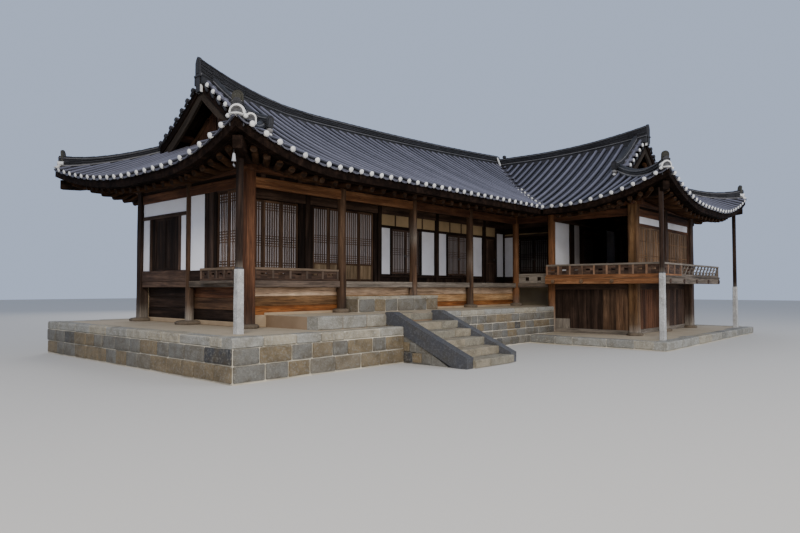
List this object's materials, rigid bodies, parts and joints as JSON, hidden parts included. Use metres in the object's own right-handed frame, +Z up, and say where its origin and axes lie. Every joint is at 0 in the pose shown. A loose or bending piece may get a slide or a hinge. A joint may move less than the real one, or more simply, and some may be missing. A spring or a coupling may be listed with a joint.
{
  "type": "hanok house",
  "caption": "L-shaped Korean timber-framed house with a curved tiled hip-and-gable roof, a front veranda and a raised pavilion wing on stone platforms",
  "frame": {"origin": "on the ground, straight below the centre of the house's front left corner column", "axes": "+X runs to the right along the main wing's front, +Y goes back into the house, +Z is up"},
  "size_m": [17.557, 10.9099, 6.4834],
  "materials": {
    "roof_tile": "matte fired clay with a faint sheen",
    "ridge_tile": "matte fired clay, lime mortar between courses",
    "timber": "weathered oiled pine",
    "orange_timber": "weathered orange-brown pine",
    "dark_timber": "dark weathered planks",
    "plaster": "matte lime plaster",
    "lattice_paper": "dark lattice over mulberry paper",
    "stone": "rough split granite with lime joints",
    "pale_stone": "dressed granite",
    "earth": "rammed earth and rubble"
  },
  "bodies": {
    "house": {"roof_front_slope": "roof_tile", "roof_back_slope": "roof_tile", "roof_left_hip": "roof_tile", "wing_roof_inner_slope": "roof_tile", "wing_roof_outer_slope": "roof_tile", "wing_roof_front_hip": "roof_tile", "roof_ridge": "ridge_tile", "ridge_left_front": "ridge_tile", "ridge_left_back": "ridge_tile", "ridge_wing_left": "ridge_tile", "ridge_wing_right": "ridge_tile", "ridge_back_right": "ridge_tile", "gable_left": "dark_timber", "gable_wing": "dark_timber", "upper_terrace": "stone", "lower_terrace": "stone", "wing_platform": "stone", "stone_stairs": "stone", "stone_block": "stone", "room_base": "earth", "room_floor": "timber", "veranda_floor": "timber", "front_frame": "timber", "left_wall": "plaster", "pavilion_frame": "timber", "veranda_skirt": "orange_timber", "pavilion_side_skirt": "dark_timber", "pavilion_end_skirt": "dark_timber", "front_wall": "plaster", "wing_inner_wall": "plaster", "back_wall": "plaster", "right_wall": "plaster", "pavilion_back_wall": "plaster", "pavilion_floor": "orange_timber", "front_railing": "timber", "left_railing": "timber", "balcony_railing": "orange_timber", "veranda_end_panel": "timber", "corner_post_left": "pale_stone", "corner_post_wing_left": "pale_stone", "corner_post_wing_right": "pale_stone", "bay_1_folding_doors": "lattice_paper", "bay_2_folding_doors": "lattice_paper", "left_lattice_window": "lattice_paper", "left_plank_window": "dark_timber", "right_window": "lattice_paper", "pavilion_side_shutters": "dark_timber", "pavilion_inner_doors": "dark_timber", "back_window": "lattice_paper", "pavilion_shutters_1": "dark_timber", "pavilion_shutters_2": "dark_timber"},
    "bay_3_door_left": {"bay_3_door_left": "lattice_paper"},
    "bay_3_door_right": {"bay_3_door_right": "lattice_paper"},
    "bay_4_door_left": {"bay_4_door_left": "lattice_paper"},
    "bay_4_door_right": {"bay_4_door_right": "lattice_paper"},
    "bay_5_door": {"bay_5_door": "dark_timber"},
    "wing_door_front": {"wing_door_front": "dark_timber"},
    "wing_door_rear": {"wing_door_rear": "dark_timber"}
  },
  "joints": [
    {"name": "bay_3_left_hinge", "type": "hinge", "parent": "house", "child": "bay_3_door_left", "pos_m": [5.358, 1.19, 1.64], "axis": [0, 0, 1], "range_deg": [-90, 0]},
    {"name": "bay_3_right_hinge", "type": "hinge", "parent": "house", "child": "bay_3_door_right", "pos_m": [6.492, 1.19, 1.64], "axis": [0, 0, 1], "range_deg": [0, 90]},
    {"name": "bay_4_left_hinge", "type": "hinge", "parent": "house", "child": "bay_4_door_left", "pos_m": [7.808, 1.19, 1.64], "axis": [0, 0, 1], "range_deg": [-90, 0]},
    {"name": "bay_4_right_hinge", "type": "hinge", "parent": "house", "child": "bay_4_door_right", "pos_m": [8.942, 1.19, 1.64], "axis": [0, 0, 1], "range_deg": [0, 90]},
    {"name": "bay_5_hinge", "type": "hinge", "parent": "house", "child": "bay_5_door", "pos_m": [9.798, 1.19, 1.64], "axis": [0, 0, 1], "range_deg": [-90, 0]},
    {"name": "wing_front_hinge", "type": "hinge", "parent": "house", "child": "wing_door_front", "pos_m": [10.87, -0.462, 1.64], "axis": [0, 0, 1], "range_deg": [0, 90]},
    {"name": "wing_rear_hinge", "type": "hinge", "parent": "house", "child": "wing_door_rear", "pos_m": [10.87, 0.582, 1.64], "axis": [0, 0, 1], "range_deg": [-90, 0]}
  ]
}
